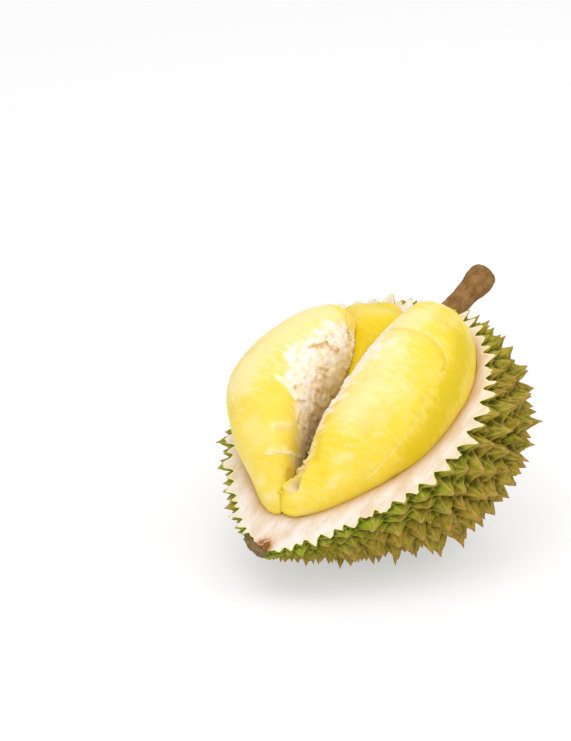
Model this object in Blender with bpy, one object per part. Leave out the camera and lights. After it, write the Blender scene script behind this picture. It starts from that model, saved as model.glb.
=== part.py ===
"""An opened durian: the thorny half shell with its stem, and the three lobes of flesh that lie in it.

Metres, +Z up. The fruit is modelled in a frame of its own: the cut face is its plane z = 0, its long axis
is y with the stem at +y, and the open side faces +z. An empty tips that frame into the pose in which the
half rests on its thorns, with the stem end raised.
"""

import math

import bmesh
import bpy
import numpy as np
from mathutils import Euler, Matrix, Vector

# Shell, without its thorns. The cut passes above its middle, so the shell swells out below the cut face.
BODY_TO_TIP = 0.1225  # along the cut face, from its widest place
BODY_TO_STEM = 0.1075
BODY_HALF_WIDTH = 0.085  # on the cut face
BODY_DEPTH = 0.091  # from the cut face to the belly; the tip's and the belly's shares below change it
TIP_TAPER = 0.55  # how much the blossom end is drawn in to a point
TIP_TAPER_POWER = 2.4
TIP_SHALLOWER = 0.4  # and how much its belly rises
BELLY_FILL = 0.08  # how much fuller the belly is, which is what the half rests on
BELLY_FILL_POWER = 6
FLARE = 0.20  # the swelling halfway down, as a share of the size
FLARE_START = 0.75  # how fast it sets in behind the tip
FLAT_SIDE = (-0.84, 0.54)  # the swelling is weaker towards this x and y
FLAT_SIDE_LOSS = 0.7
OUTLINE_SWELLS = [  # the cut face is fuller towards one x and y and slimmer towards another: (x, y, share, power)
    (-0.84, 0.54, 0.15, 7),
    (0.62, -0.785, -0.055, 6),
]
BULGE = 0.05  # the swelling over each chamber
BULGES_PER_TURN = 3  # one low on each side, with a furrow along the belly between them

# Thorns
THORN_SPACING = 0.0127
CUT_ROW_HALF_WIDTH = 0.0062  # one row of thorns is cut through lengthwise and keeps this band free of others
CUT_ROW_JITTER = 0.0012
FAR_ROW_START = 0.85  # towards the flat side the cut thorns are large
FAR_ROW_SIZE = 0.92
LEVEL_ABOVE = 0.004  # thorns this near the cut face lie level with it
LEANING_BELOW = 0.022  # and those deeper than this stand square on the shell
THORN_SLENDERNESS = 0.96  # height over the square root of the base's area
POLE_SHRINK = 0.52  # cell size at the two ends against the belly
HEIGHT_SPREAD = 0.20
SEED_JITTER = 0.19  # share of the spacing by which a thorn leaves its place in the spiral
BARE_RADIUS_STEM = 0.013  # around the stem and the tip the thorns shrink to stubs
BARE_RADIUS_TIP = 0.010
BARE_START = 0.9  # share of that radius within which there are only stubs
STUB_HEIGHT = 0.06  # of a full thorn's height

# Hollow that holds the flesh
CAVITY_HALF_WIDTH = 0.066
CAVITY_FRONT = -0.0885
CAVITY_BACK = 0.090
CAVITY_DEPTH = 0.052
CAVITY_BRIM = 0.002  # the cutter is widest this far above the cut face
CAVITY_LID = 0.013  # and reaches this far above that
CAVITY_RINGS = 16
CAVITY_SIDES = 36

# Stem
STEM_DROP = 0.014  # its axis lies this far below the cut face
STEM_SIDE = 0.001  # and this far towards +x
STEM_RADIUS = 0.0080
STEM_KNOB_RADIUS = 0.0103
STEM_LENGTH = 0.0460  # outside the shell
STEM_SOCKET_DEPTH = 0.008
STEM_LEAN = math.radians(8.0)  # towards +x
STEM_FOOT_RADIUS = 1.10 * STEM_RADIUS
STEM_SIDES = 16

# Pose
PITCH = math.radians(28.9)  # the stem end is raised by this
ROLL = math.radians(1.8)  # the -x side is lower by this
CRUSH = 0.0052  # the lowest thorn tips are worn flat by this much
GAP = 0.0003  # between touching pieces
BED_GAP = 1.2 * GAP  # around a lobe, whose sloping ends leave less than that

GOLDEN_ANGLE = math.pi * (3 - math.sqrt(5))

# Lobes of flesh: stations along y, each (y, x and z of the widest line, half width, rise and drop from it)
RIGHT_LOBE = [
    (-0.0878, 0.0020, 0.002, 0.0070, 0.0035, 0.0035),
    (-0.0840, 0.0035, 0.004, 0.0118, 0.0080, 0.0085),
    (-0.0770, 0.0080, 0.005, 0.0155, 0.0140, 0.0140),
    (-0.0690, 0.0158, 0.006, 0.0152, 0.0190, 0.0195),
    (-0.0600, 0.0202, 0.008, 0.0190, 0.0225, 0.0260),
    (-0.0400, 0.0264, 0.013, 0.0275, 0.0312, 0.0410),
    (-0.0130, 0.0334, 0.017, 0.0338, 0.0368, 0.0560),
    (0.0210, 0.0366, 0.020, 0.0346, 0.0396, 0.0610),
    (0.0520, 0.0368, 0.020, 0.0308, 0.0372, 0.0550),
    (0.0780, 0.0320, 0.017, 0.0228, 0.0285, 0.0330),
    (0.0890, 0.0285, 0.013, 0.0110, 0.0150, 0.0110),
]
LEFT_LOBE = [
    (-0.0890, -0.0115, 0.001, 0.0055, 0.0035, 0.0035),
    (-0.0850, -0.0148, 0.005, 0.0095, 0.0095, 0.0105),
    (-0.0740, -0.0215, 0.011, 0.0158, 0.0180, 0.0230),
    (-0.0600, -0.0310, 0.019, 0.0235, 0.0255, 0.0400),
    (-0.0330, -0.0440, 0.029, 0.0305, 0.0315, 0.0620),
    (-0.0020, -0.0465, 0.031, 0.0310, 0.0320, 0.0710),
    (0.0270, -0.0430, 0.030, 0.0283, 0.0283, 0.0670),
    (0.0450, -0.0422, 0.027, 0.0208, 0.0245, 0.0520),
    (0.0560, -0.0412, 0.025, 0.0158, 0.0198, 0.0300),
]
BACK_LOBE = [
    (0.0020, -0.0080, 0.004, 0.0020, 0.0030, 0.0030),
    (0.0150, -0.0100, 0.006, 0.0060, 0.0110, 0.0250),
    (0.0400, -0.0140, 0.008, 0.0100, 0.0150, 0.0400),
    (0.0600, -0.0220, 0.011, 0.0190, 0.0165, 0.0360),
    (0.0780, -0.0285, 0.009, 0.0265, 0.0150, 0.0220),
    (0.0890, -0.0265, 0.007, 0.0130, 0.0075, 0.0070),
]
LOBE_RINGS = 15
LOBE_SIDES = 20


def clear_scene():
    for old in list(bpy.data.objects):
        bpy.data.objects.remove(old)


def plain_material(name, colour, roughness):
    material = bpy.data.materials.new(name)
    material.use_nodes = True
    shader = material.node_tree.nodes["Principled BSDF"]
    shader.inputs["Base Color"].default_value = (*colour, 1.0)
    shader.inputs["Roughness"].default_value = roughness
    shader.inputs["Metallic"].default_value = 0.0
    return material


def add_object(name, mesh, material, parent):
    made = bpy.data.objects.new(name, mesh)
    bpy.context.scene.collection.objects.link(made)
    made.parent = parent
    made.data.materials.append(material)
    return made


def add_cutter(name, bm, parent):
    mesh = bpy.data.meshes.new(name)
    bm.to_mesh(mesh)
    bm.free()
    made = bpy.data.objects.new(name, mesh)
    bpy.context.scene.collection.objects.link(made)
    made.parent = parent
    made.hide_render = True
    made.display_type = "WIRE"
    return made


def cut(target, cutter):
    modifier = target.modifiers.new("cut_" + cutter.name, "BOOLEAN")
    modifier.operation = "DIFFERENCE"
    modifier.solver = "EXACT"
    modifier.object = cutter


def ring_shrink(along):
    """How far a cross-section is drawn in, from -1 along the axis at the tip to 1 at the stem."""
    return 1 - TIP_TAPER * np.clip(-along, 0, 1) ** TIP_TAPER_POWER


def body_points(directions):
    """The points of the shell's smooth surface in these unit directions."""
    x, y, z = np.asarray(directions, float).T
    towards_tip = np.clip(-y, 0, 1)
    started = np.minimum(1, FLARE_START * (y + 1))
    down = np.clip(-z, 0, 1)
    flat_side = np.clip(FLAT_SIDE[0] * x + FLAT_SIDE[1] * y, 0, 1)
    flare = 1 + FLARE * (1 - FLAT_SIDE_LOSS * flat_side) * started * 4 * down * (1 - down)
    furrow = 1 - BULGE * started * np.cos(BULGES_PER_TURN * np.arctan2(x, -z))
    shoulder = 1
    for towards_x, towards_y, share, power in OUTLINE_SWELLS:
        shoulder = shoulder + share * np.clip(towards_x * x + towards_y * y, 0, 1) ** power
    ring = ring_shrink(y) * flare * furrow * shoulder
    length = np.where(y < 0, BODY_TO_TIP, BODY_TO_STEM * flare * shoulder)
    depth = BODY_DEPTH * (1 - TIP_SHALLOWER * towards_tip)
    depth = depth * (1 + BELLY_FILL * down**BELLY_FILL_POWER)
    return np.stack([BODY_HALF_WIDTH * x * ring, length * y, depth * z * ring], 1)


def thorn_sizes(along):
    """Thorn size at places along the axis, as a share of the largest, and the shell's radius there."""
    radius = np.sqrt(1 - along**2) * ring_shrink(along) * BODY_HALF_WIDTH * (1 + FLARE / 2)
    return POLE_SHRINK + (1 - POLE_SHRINK) * radius / (BODY_HALF_WIDTH * (1 + FLARE / 2)), radius


def spiral_thorns(random):
    """Unit directions along a golden spiral about the fruit's axis, denser towards its two ends."""
    along = np.linspace(-1, 1, 401)
    size, radius = thorn_sizes(along)
    half_length = (BODY_TO_TIP + BODY_TO_STEM) / 2
    step = np.hypot(np.gradient(radius), np.gradient(along) * half_length)
    cell_area = math.sqrt(3) / 2 * THORN_SPACING**2
    weight = np.cumsum(2 * math.pi * radius * step / (size**2 * cell_area))
    count = int(weight[-1])
    places = (np.arange(count) + 0.5) / count * weight[-1]
    y = np.clip(np.interp(places, weight, along), -1, 1)
    turn = np.arange(count) * GOLDEN_ANGLE
    ring = np.sqrt(1 - y**2)
    directions = np.stack([ring * np.cos(turn), y, ring * np.sin(turn)], 1)
    spread = SEED_JITTER * THORN_SPACING / BODY_HALF_WIDTH
    directions += random.normal(0, spread, directions.shape) * ring[:, None]
    return directions / np.linalg.norm(directions, axis=1)[:, None]


def cut_row_thorns(random):
    """Unit directions of the thorns along the cut face's outline, spaced by their size."""
    turn = np.linspace(0, 2 * math.pi, 721)
    outline = body_points(np.stack([np.cos(turn), np.sin(turn), 0 * turn], 1))
    size, _ = thorn_sizes(np.sin(turn))
    far = FLAT_SIDE[0] * np.cos(turn) + FLAT_SIDE[1] * np.sin(turn) > FAR_ROW_START
    size = np.where(far, FAR_ROW_SIZE, size)
    steps = np.linalg.norm(np.diff(outline, axis=0), axis=1) / size[1:]
    travel = np.r_[0, np.cumsum(steps)]
    count = round(travel[-1] / THORN_SPACING)
    shifts = random.uniform(-1, 1, (count, 2)) * CUT_ROW_JITTER
    places = (np.arange(count) + 0.5) / count * travel[-1] + shifts[:, 0]
    turn = np.interp(places, travel, turn)
    directions = np.stack([np.cos(turn), np.sin(turn), shifts[:, 1] / BODY_DEPTH], 1)
    return directions / np.linalg.norm(directions, axis=1)[:, None]


def thorn_directions(random):
    """Unit directions of all thorns, and how far each one's height leaves the usual, from -1 to 1."""
    spiral = spiral_thorns(random)
    spreads = random.uniform(-1, 1, len(spiral))
    size, _ = thorn_sizes(spiral[:, 1])
    apart = np.abs(body_points(spiral)[:, 2]) > CUT_ROW_HALF_WIDTH * size
    row = cut_row_thorns(random)
    row_spreads = random.uniform(-1, 1, len(row))
    return np.vstack([spiral[apart], row]), np.r_[spreads[apart], row_spreads]


def thorn_cells(directions):
    """For each thorn, the unit directions of its base's corners in order, seen from outside."""
    bm = bmesh.new()
    for direction in directions:
        bm.verts.new(direction)
    bm.verts.ensure_lookup_table()
    bm.verts.index_update()
    bmesh.ops.convex_hull(bm, input=bm.verts[:], use_existing_faces=False)
    bmesh.ops.triangulate(bm, faces=bm.faces[:])
    bm.verts.ensure_lookup_table()
    cells = []
    for vertex in bm.verts:
        axis = vertex.co.normalized()
        across = axis.orthogonal().normalized()
        along = axis.cross(across)
        centres = [face.calc_center_median().normalized() for face in vertex.link_faces]
        faces = [face.index for face in vertex.link_faces]
        turns = [math.atan2(c.dot(along), c.dot(across)) for c in centres]
        order = sorted(range(len(turns)), key=turns.__getitem__)
        cells.append([(faces[i], tuple(centres[i])) for i in order])
    bm.free()
    return cells


def add_thorn(bm, corners, spread, stem_foot, tip):
    """One thorn: a pyramid on its cell, as tall as the cell is wide."""
    points = [corner.co for corner in corners]
    centre = sum(points, Vector()) / len(points)
    area_vector = Vector()
    for a, b in zip(points, points[1:] + points[:1]):
        area_vector += (a - centre).cross(b - centre) / 2
    area = area_vector.length
    normal = area_vector.normalized()
    leaning = (abs(centre.z) - LEVEL_ABOVE) / (LEANING_BELOW - LEVEL_ABOVE)
    normal.z *= min(1.0, max(0.0, leaning))
    normal.normalize()
    height = THORN_SLENDERNESS * math.sqrt(area)
    height *= 1 + HEIGHT_SPREAD * spread
    bare = min(
        (centre - stem_foot).length / BARE_RADIUS_STEM,
        (centre - tip).length / BARE_RADIUS_TIP,
    )
    height *= min(1.0, max(STUB_HEIGHT, bare - BARE_START))
    apex = bm.verts.new(centre + normal * height)
    for a, b in zip(corners, corners[1:] + corners[:1]):
        bm.faces.new((apex, a, b))


def keep_largest_island(bm):
    """Drops the loose thorn ends that a cut leaves beside the body."""
    left = set(bm.verts)
    islands = []
    while left:
        todo = [left.pop()]
        island = list(todo)
        while todo:
            for edge in todo.pop().link_edges:
                for other in edge.verts:
                    if other in left:
                        left.remove(other)
                        todo.append(other)
                        island.append(other)
        islands.append(island)
    islands.sort(key=len)
    for island in islands[:-1]:
        bmesh.ops.delete(bm, geom=island, context="VERTS")


def slice_off(bm, point, normal):
    """Removes what lies beyond a plane, on the side that its normal points to, and closes the cut."""
    geometry = bm.verts[:] + bm.edges[:] + bm.faces[:]
    bmesh.ops.bisect_plane(
        bm, geom=geometry, dist=1e-7, plane_co=point, plane_no=normal, clear_outer=True
    )
    keep_largest_island(bm)
    open_edges = [edge for edge in bm.edges if edge.is_boundary]
    bmesh.ops.holes_fill(bm, edges=open_edges, sides=0)


def stem_foot_point():
    """Where the stem's axis leaves the shell's smooth surface, and the stem's direction."""
    direction = Vector((math.sin(STEM_LEAN), math.cos(STEM_LEAN), 0))
    down = STEM_DROP / BODY_DEPTH
    end = body_points([(0, math.sqrt(1 - down**2), -down)])[0]
    return Vector(end) + Vector((STEM_SIDE, 0, 0)), direction


def shell_mesh(to_row):
    """The thorny half shell in the fruit's frame, cut flat at z = 0, and how high that frame stands.

    to_row turns the fruit's frame into the row's. The lowest thorns are worn flat where the shell rests."""
    random = np.random.default_rng(11)
    stem_foot, _ = stem_foot_point()
    tip = Vector((0, -BODY_TO_TIP, 0))
    bm = bmesh.new()
    corner_of = {}
    directions, spreads = thorn_directions(random)
    for cell, spread in zip(thorn_cells(directions), spreads):
        corners = []
        for face, direction in cell:
            if face not in corner_of:
                corner_of[face] = bm.verts.new(body_points([direction])[0])
            corners.append(corner_of[face])
        add_thorn(bm, corners, spread, stem_foot, tip)
    slice_off(bm, Vector((0, 0, 0)), Vector((0, 0, 1)))
    lowest = min((to_row @ vertex.co).z for vertex in bm.verts)
    floor = lowest + CRUSH
    down = to_row.inverted() @ Vector((0, 0, -1))
    slice_off(bm, to_row.inverted() @ Vector((0, 0, floor)), down)
    bmesh.ops.triangulate(bm, faces=bm.faces[:])
    bmesh.ops.recalc_face_normals(bm, faces=bm.faces[:])
    mesh = bpy.data.meshes.new("rind")
    bm.to_mesh(mesh)
    bm.free()
    return mesh, -floor


def bridge_rings(bm, rings):
    """Joins rings of vertices into a closed skin, with a flat cap on the first and the last."""
    for lower, upper in zip(rings, rings[1:]):
        for a in range(len(lower)):
            b = (a + 1) % len(lower)
            bm.faces.new((lower[a], lower[b], upper[b]))
            bm.faces.new((lower[a], upper[b], upper[a]))
    bm.faces.new(list(reversed(rings[0])))
    bm.faces.new(rings[-1])
    bmesh.ops.recalc_face_normals(bm, faces=bm.faces[:])


def cavity_cutter(parent):
    """The boat-shaped hollow, with a shallow dome above the cut face so that it cuts through cleanly."""
    bm = bmesh.new()
    rings = []
    middle, half = (CAVITY_FRONT + CAVITY_BACK) / 2, (CAVITY_BACK - CAVITY_FRONT) / 2
    for i in range(CAVITY_RINGS):
        along = -math.cos(math.pi * (i + 0.5) / CAVITY_RINGS)
        radius = math.sqrt(1 - along**2) * float(ring_shrink(along))
        ring = []
        for j in range(CAVITY_SIDES):
            turn = 2 * math.pi * j / CAVITY_SIDES
            x = CAVITY_HALF_WIDTH * radius * math.cos(turn)
            tall = CAVITY_DEPTH * radius if math.sin(turn) < 0 else CAVITY_LID
            z = CAVITY_BRIM + tall * math.sin(turn)
            ring.append(bm.verts.new((x, middle + half * along, z)))
        rings.append(ring)
    bridge_rings(bm, rings)
    return add_cutter("cavity_cutter", bm, parent)


def smooth_stations(stations, count):
    """Stations read from one smooth curve through the given ones, closer together at the two ends."""
    table = np.array(stations, float)
    last = len(table) - 1
    places = (1 - np.cos(np.pi * np.arange(count) / (count - 1))) / 2 * last
    rows = []
    for place in places:
        i = min(int(place), last - 1)
        s = place - i
        before, after = table[max(i - 1, 0)], table[min(i + 2, last)]
        a, b = table[i], table[i + 1]
        curve = a * 2 + (b - before) * s
        curve = curve + (2 * before - 5 * a + 4 * b - after) * s**2
        curve = curve + (3 * a - before - 3 * b + after) * s**3
        rows.append(curve / 2)
    return rows


def lobe_bmesh(stations, grown):
    """A lobe's closed skin, pushed out by the given distance."""
    bm = bmesh.new()
    rings = []
    rows = smooth_stations(stations, LOBE_RINGS)
    for i, (y, x, z, half_width, rise, drop) in enumerate(rows):
        y += {0: -grown, LOBE_RINGS - 1: grown}.get(i, 0)
        ring = []
        for j in range(LOBE_SIDES):
            turn = 2 * math.pi * j / LOBE_SIDES
            tall = (rise if math.sin(turn) > 0 else drop) + grown
            across = (half_width + grown) * math.cos(turn)
            ring.append(bm.verts.new((x + across, y, z + tall * math.sin(turn))))
        rings.append(ring)
    bridge_rings(bm, rings)
    return bm


def lobe_mesh(name, stations):
    mesh = bpy.data.meshes.new(name)
    bm = lobe_bmesh(stations, 0)
    bm.to_mesh(mesh)
    bm.free()
    mesh.shade_smooth()
    return mesh


def round_bar(bm, foot, direction, profile):
    """A bar turned about a line: the profile's rows are (distance along the line, radius)."""
    turn = direction.to_track_quat("Z", "Y").to_matrix()
    rings = []
    for along, radius in profile:
        ring = []
        for j in range(STEM_SIDES):
            angle = 2 * math.pi * j / STEM_SIDES
            spot = Vector((radius * math.cos(angle), radius * math.sin(angle), along))
            ring.append(bm.verts.new(foot + turn @ spot))
        rings.append(ring)
    bridge_rings(bm, rings)


def stem_mesh():
    foot, direction = stem_foot_point()
    knob_start = STEM_LENGTH - 2 * STEM_KNOB_RADIUS
    profile = [
        (-STEM_SOCKET_DEPTH, STEM_FOOT_RADIUS),
        (0.004, STEM_RADIUS * 1.06),
        (knob_start * 0.55, STEM_RADIUS),
        (knob_start, STEM_RADIUS * 1.03),
        (STEM_LENGTH - STEM_KNOB_RADIUS, STEM_KNOB_RADIUS * 0.97),
        (STEM_LENGTH - 0.005, STEM_KNOB_RADIUS),
        (STEM_LENGTH - 0.001, STEM_KNOB_RADIUS * 0.88),
        (STEM_LENGTH, STEM_KNOB_RADIUS * 0.60),
    ]
    bm = bmesh.new()
    round_bar(bm, foot, direction, profile)
    mesh = bpy.data.meshes.new("stem")
    bm.to_mesh(mesh)
    bm.free()
    mesh.shade_smooth()
    return mesh


def stem_socket_cutter(parent):
    """Clears a round seat for the stem, a hair wider and deeper than its foot."""
    foot, direction = stem_foot_point()
    radius = STEM_FOOT_RADIUS + GAP
    bm = bmesh.new()
    profile = [(-STEM_SOCKET_DEPTH - GAP, radius), (STEM_LENGTH, radius * 1.25)]
    round_bar(bm, foot, direction, profile)
    return add_cutter("stem_socket_cutter", bm, parent)


def centre_on_base(frame):
    """Moves the whole fruit so that the row's origin is the middle of its box, on the surface it rests on."""
    bpy.context.view_layer.update()
    graph = bpy.context.evaluated_depsgraph_get()
    points = []
    for made in bpy.context.scene.objects:
        if made.type == "MESH" and not made.hide_render:
            evaluated = made.evaluated_get(graph)
            points += [evaluated.matrix_world @ v.co for v in evaluated.data.vertices]
    for axis in (0, 1):
        values = [point[axis] for point in points]
        frame.location[axis] -= (min(values) + max(values)) / 2


def main():
    clear_scene()
    frame = bpy.data.objects.new("fruit_frame", None)
    bpy.context.scene.collection.objects.link(frame)
    frame.rotation_euler = Euler((PITCH, -ROLL, 0))
    to_row = frame.rotation_euler.to_matrix()

    husk = plain_material("husk", (0.23, 0.25, 0.06), 0.6)
    flesh = plain_material("flesh", (0.92, 0.76, 0.15), 0.42)
    bark = plain_material("bark", (0.28, 0.17, 0.10), 0.8)

    mesh, frame_height = shell_mesh(to_row)
    frame.location = (0, 0, frame_height)
    shell = add_object("rind", mesh, husk, frame)
    cut(shell, cavity_cutter(frame))
    cut(shell, stem_socket_cutter(frame))
    add_object("stem", stem_mesh(), bark, frame)

    # The lobes are pressed against each other and bedded in the pith: each makes room for those before it
    bedded = []
    for side, stations in (("right", RIGHT_LOBE), ("left", LEFT_LOBE), ("back", BACK_LOBE)):
        name = "flesh_lobe_" + side
        lobe = add_object(name, lobe_mesh(name, stations), flesh, frame)
        for neighbour in bedded:
            cut(lobe, neighbour)
        bedded.append(add_cutter(name + "_bed", lobe_bmesh(stations, BED_GAP), frame))
        cut(shell, bedded[-1])
    centre_on_base(frame)


main()
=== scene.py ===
import math

import bmesh
import bpy
import numpy as np
from mathutils import Euler, Matrix, Vector, noise
from mathutils.geometry import delaunay_2d_cdt


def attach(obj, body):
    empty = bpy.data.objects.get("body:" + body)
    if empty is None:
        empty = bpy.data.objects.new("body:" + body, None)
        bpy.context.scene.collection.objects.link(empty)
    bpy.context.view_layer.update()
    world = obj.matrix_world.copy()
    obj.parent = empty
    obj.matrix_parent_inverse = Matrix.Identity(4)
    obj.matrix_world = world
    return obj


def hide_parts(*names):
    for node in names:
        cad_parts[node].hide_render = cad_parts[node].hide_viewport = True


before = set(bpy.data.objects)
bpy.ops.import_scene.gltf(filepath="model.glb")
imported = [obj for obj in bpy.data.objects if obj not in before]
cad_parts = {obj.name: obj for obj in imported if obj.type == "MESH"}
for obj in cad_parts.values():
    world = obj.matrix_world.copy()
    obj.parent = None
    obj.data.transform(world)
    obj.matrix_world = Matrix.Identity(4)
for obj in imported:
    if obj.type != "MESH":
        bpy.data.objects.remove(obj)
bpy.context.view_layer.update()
millimetre = 0.001

# The fruit has a frame of its own: the cut face is z = 0, y runs to the stem, and the open side faces +z.
# It is tipped so that the half lies on its thorns with the stem end raised.
pose = {
    "pitch": math.radians(28.9),
    "roll": math.radians(1.8),  # the left side is lower
}

husk = {
    "toTip": 0.1225,
    "toStem": 0.1075,
    "halfWidth": 0.085,
    "depth": 0.091,
    "tipTaper": 0.55,
    "tipTaperPower": 2.4,
    "tipShallower": 0.4,
    "bellyFill": 0.08,
    "bellyFillPower": 6,
    "flare": 0.20,  # the swelling halfway down
    "flareStart": 0.75,
    "bulge": 0.05,  # over each chamber
    "bulgesPerTurn": 3,
    "flatSide": (-0.84, 0.54),  # the swelling is weaker towards this x and y
    "flatSideLoss": 0.7,
    # the cut face is fuller towards one x and y and slimmer towards another: (x, y, share, power)
    "outlineSwells": [(-0.84, 0.54, 0.15, 7), (0.62, -0.785, -0.055, 6)],
    "seed": 11,
}

thorns = {
    "spacing": 0.0127,
    "cutRowHalfWidth": 0.0062,  # one row is cut through lengthwise and keeps this band free of others
    "cutRowJitter": 0.0012,
    "farRowStart": 0.85,  # towards the husk's flat side the cut thorns are large
    "farRowSize": 0.92,
    "levelAbove": 0.004,  # thorns this near the cut face lie level with it
    "leaningBelow": 0.022,  # and those deeper than this stand square on the husk
    "slenderness": 0.96,  # height over the square root of the base's area
    "poleShrink": 0.52,
    "heightSpread": 0.20,
    "seedJitter": 0.19,
    "bareAtStem": 0.013,
    "bareAtTip": 0.010,
    "bareStart": 0.9,
    "stubHeight": 0.06,
    "sidePlaces": [0.0, 0.13, 0.5, 0.87],  # where points stand along each side of a thorn's base
    "levels": [0.80, 0.57, 0.36, 0.18, 0.06],  # share of the base's width left at each ring
    "sweep": 1.22,  # over 1, the flanks are hollow and the tip is slim
    "bow": 0.10,  # how far the flanks draw in between the ridges
    "valley": 0.0009,  # how far the grooves between thorns sink in mid-side
    "lean": 0.16,  # how far a tip may bend aside, as a share of its height
    "leanTurn": 40,  # radians over which the bends are spread, so that they go every way
    "ridgeReach": 0.34,
    "dullInset": 0.6,  # how far a dull ridge is drawn in
    "roughness": 0.00042,
    "rounder": 0.78,  # those in the cut at the flat side are blunt lumps
    "lower": 0.22,
    "bluntFrom": (0.070, 0.085),
    "bluntDepth": (0.006, 0.012),
    "keepBelow": 0.020,  # thorns that start higher than this over the cut face aren't grown
}

# lumps that push the whole skin about: (their width, how far)
unevenness = [(0.0110, 0.0013), (0.0042, 0.0005)]

tipStub = {
    "place": (-0.0085, -0.1180, -0.0075),
    "reach": 0.0185,
    "swell": 0.0052,
    "lumps": 0.0013,
    "thornsFrom": (0.012, 0.019),  # there are none on it, and they grow over these distances
    "edgeBack": 0.0018,  # how far the cut face ends short of it
    "edgeDepth": 0.0040,  # over this depth
}

cavity = {
    "halfWidth": 0.066,
    "front": -0.0885,
    "back": 0.090,
    "depth": 0.052,
    "brim": 0.002,
    "room": 0.0004,  # between the flesh and the pith
    "turns": 260,
    "rings": 26,
}

pith = {
    "grid": 0.00118,
    "rimSink": 0.0006,  # the cut face dips towards the flesh by this
    "rimWidth": 0.0035,
    "fibre": 0.00022,  # unevenness of the cut
    "skinFade": 0.0021,  # over what distance the skin's and the flesh's nearness fade
    "fleshFade": 0.008,
    # the hollow's walls get this share of tan: painted shade, as the lining itself is pale cream
    "hollowShade": 0.5,
    "stainPlace": (-0.0020, -0.1178, 0.0),
    "stainReach": 0.0074,
}


def fruitFrame():
    # the first ring of the right lobe is a known place in the fruit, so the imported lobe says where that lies
    turn = Euler((pose["pitch"], -pose["roll"], 0)).to_matrix()
    points = [turn.inverted() @ v.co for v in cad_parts["flesh_lobe_right"].data.vertices]
    front = min(p.y for p in points)
    ring = [p for p in points if p.y < front + 1e-5]
    y, x, z = lobes["right"]["stations"][0][:3]
    centre = sum(ring, Vector()) / len(ring)
    place = turn @ (centre - Vector((x, y, z)) * millimetre)
    return Matrix.Translation(place) @ turn.to_4x4()


def smoothStep(value, low, high):
    t = np.clip((np.asarray(value, float) - low) / (high - low), 0, 1)
    return t * t * (3 - 2 * t)


def noiseAt(points, size, seed=0.0, stretch=(1, 1, 1), octaves=1):
    # smooth noise from about -1 to 1 at each point; size is the width of its lumps in metres
    scale = Vector((1 / (size * stretch[0]), 1 / (size * stretch[1]), 1 / (size * stretch[2])))
    shift = Vector((seed, 1.7 * seed, -0.6 * seed))
    out = np.empty(len(points))
    for i, p in enumerate(points):
        spot = Vector((p[0] * scale[0], p[1] * scale[1], p[2] * scale[2])) + shift
        if octaves == 1:
            out[i] = noise.noise(spot)
        else:
            out[i] = noise.fractal(spot, 0.9, 2.1, octaves)
    return out


# ---- husk ----


def ringShrink(along):
    return 1 - husk["tipTaper"] * np.clip(-along, 0, 1) ** husk["tipTaperPower"]


def bodyPoints(directions):
    # the points of the husk's smooth surface, under its thorns, in these unit directions
    x, y, z = np.asarray(directions, float).T
    started = np.minimum(1, husk["flareStart"] * (y + 1))
    down = np.clip(-z, 0, 1)
    flatSide = np.clip(husk["flatSide"][0] * x + husk["flatSide"][1] * y, 0, 1)
    flare = 1 + husk["flare"] * (1 - husk["flatSideLoss"] * flatSide) * started * 4 * down * (1 - down)
    furrow = 1 - husk["bulge"] * started * np.cos(husk["bulgesPerTurn"] * np.arctan2(x, -z))
    shoulder = 1
    for towardsX, towardsY, share, power in husk["outlineSwells"]:
        shoulder = shoulder + share * np.clip(towardsX * x + towardsY * y, 0, 1) ** power
    ring = ringShrink(y) * flare * furrow * shoulder
    length = np.where(y < 0, husk["toTip"], husk["toStem"] * flare * shoulder)
    depth = husk["depth"] * (1 - husk["tipShallower"] * np.clip(-y, 0, 1))
    depth = depth * (1 + husk["bellyFill"] * down ** husk["bellyFillPower"])
    return np.stack([husk["halfWidth"] * x * ring, length * y, depth * z * ring], 1)


def thornSizes(along):
    # thorn size at places along the axis, as a share of the largest, and the husk's radius there
    widest = husk["halfWidth"] * (1 + husk["flare"] / 2)
    radius = np.sqrt(1 - along**2) * ringShrink(along) * widest
    return thorns["poleShrink"] + (1 - thorns["poleShrink"]) * radius / widest, radius


def spiralThorns(random):
    # a golden spiral about the fruit's axis, denser towards its two ends
    along = np.linspace(-1, 1, 401)
    size, radius = thornSizes(along)
    halfLength = (husk["toTip"] + husk["toStem"]) / 2
    step = np.hypot(np.gradient(radius), np.gradient(along) * halfLength)
    cellArea = math.sqrt(3) / 2 * thorns["spacing"] ** 2
    weight = np.cumsum(2 * math.pi * radius * step / (size**2 * cellArea))
    count = int(weight[-1])
    places = (np.arange(count) + 0.5) / count * weight[-1]
    y = np.clip(np.interp(places, weight, along), -1, 1)
    turn = np.arange(count) * math.pi * (3 - math.sqrt(5))
    ring = np.sqrt(1 - y**2)
    directions = np.stack([ring * np.cos(turn), y, ring * np.sin(turn)], 1)
    spread = thorns["seedJitter"] * thorns["spacing"] / husk["halfWidth"]
    directions += random.normal(0, spread, directions.shape) * ring[:, None]
    return directions / np.linalg.norm(directions, axis=1)[:, None]


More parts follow.
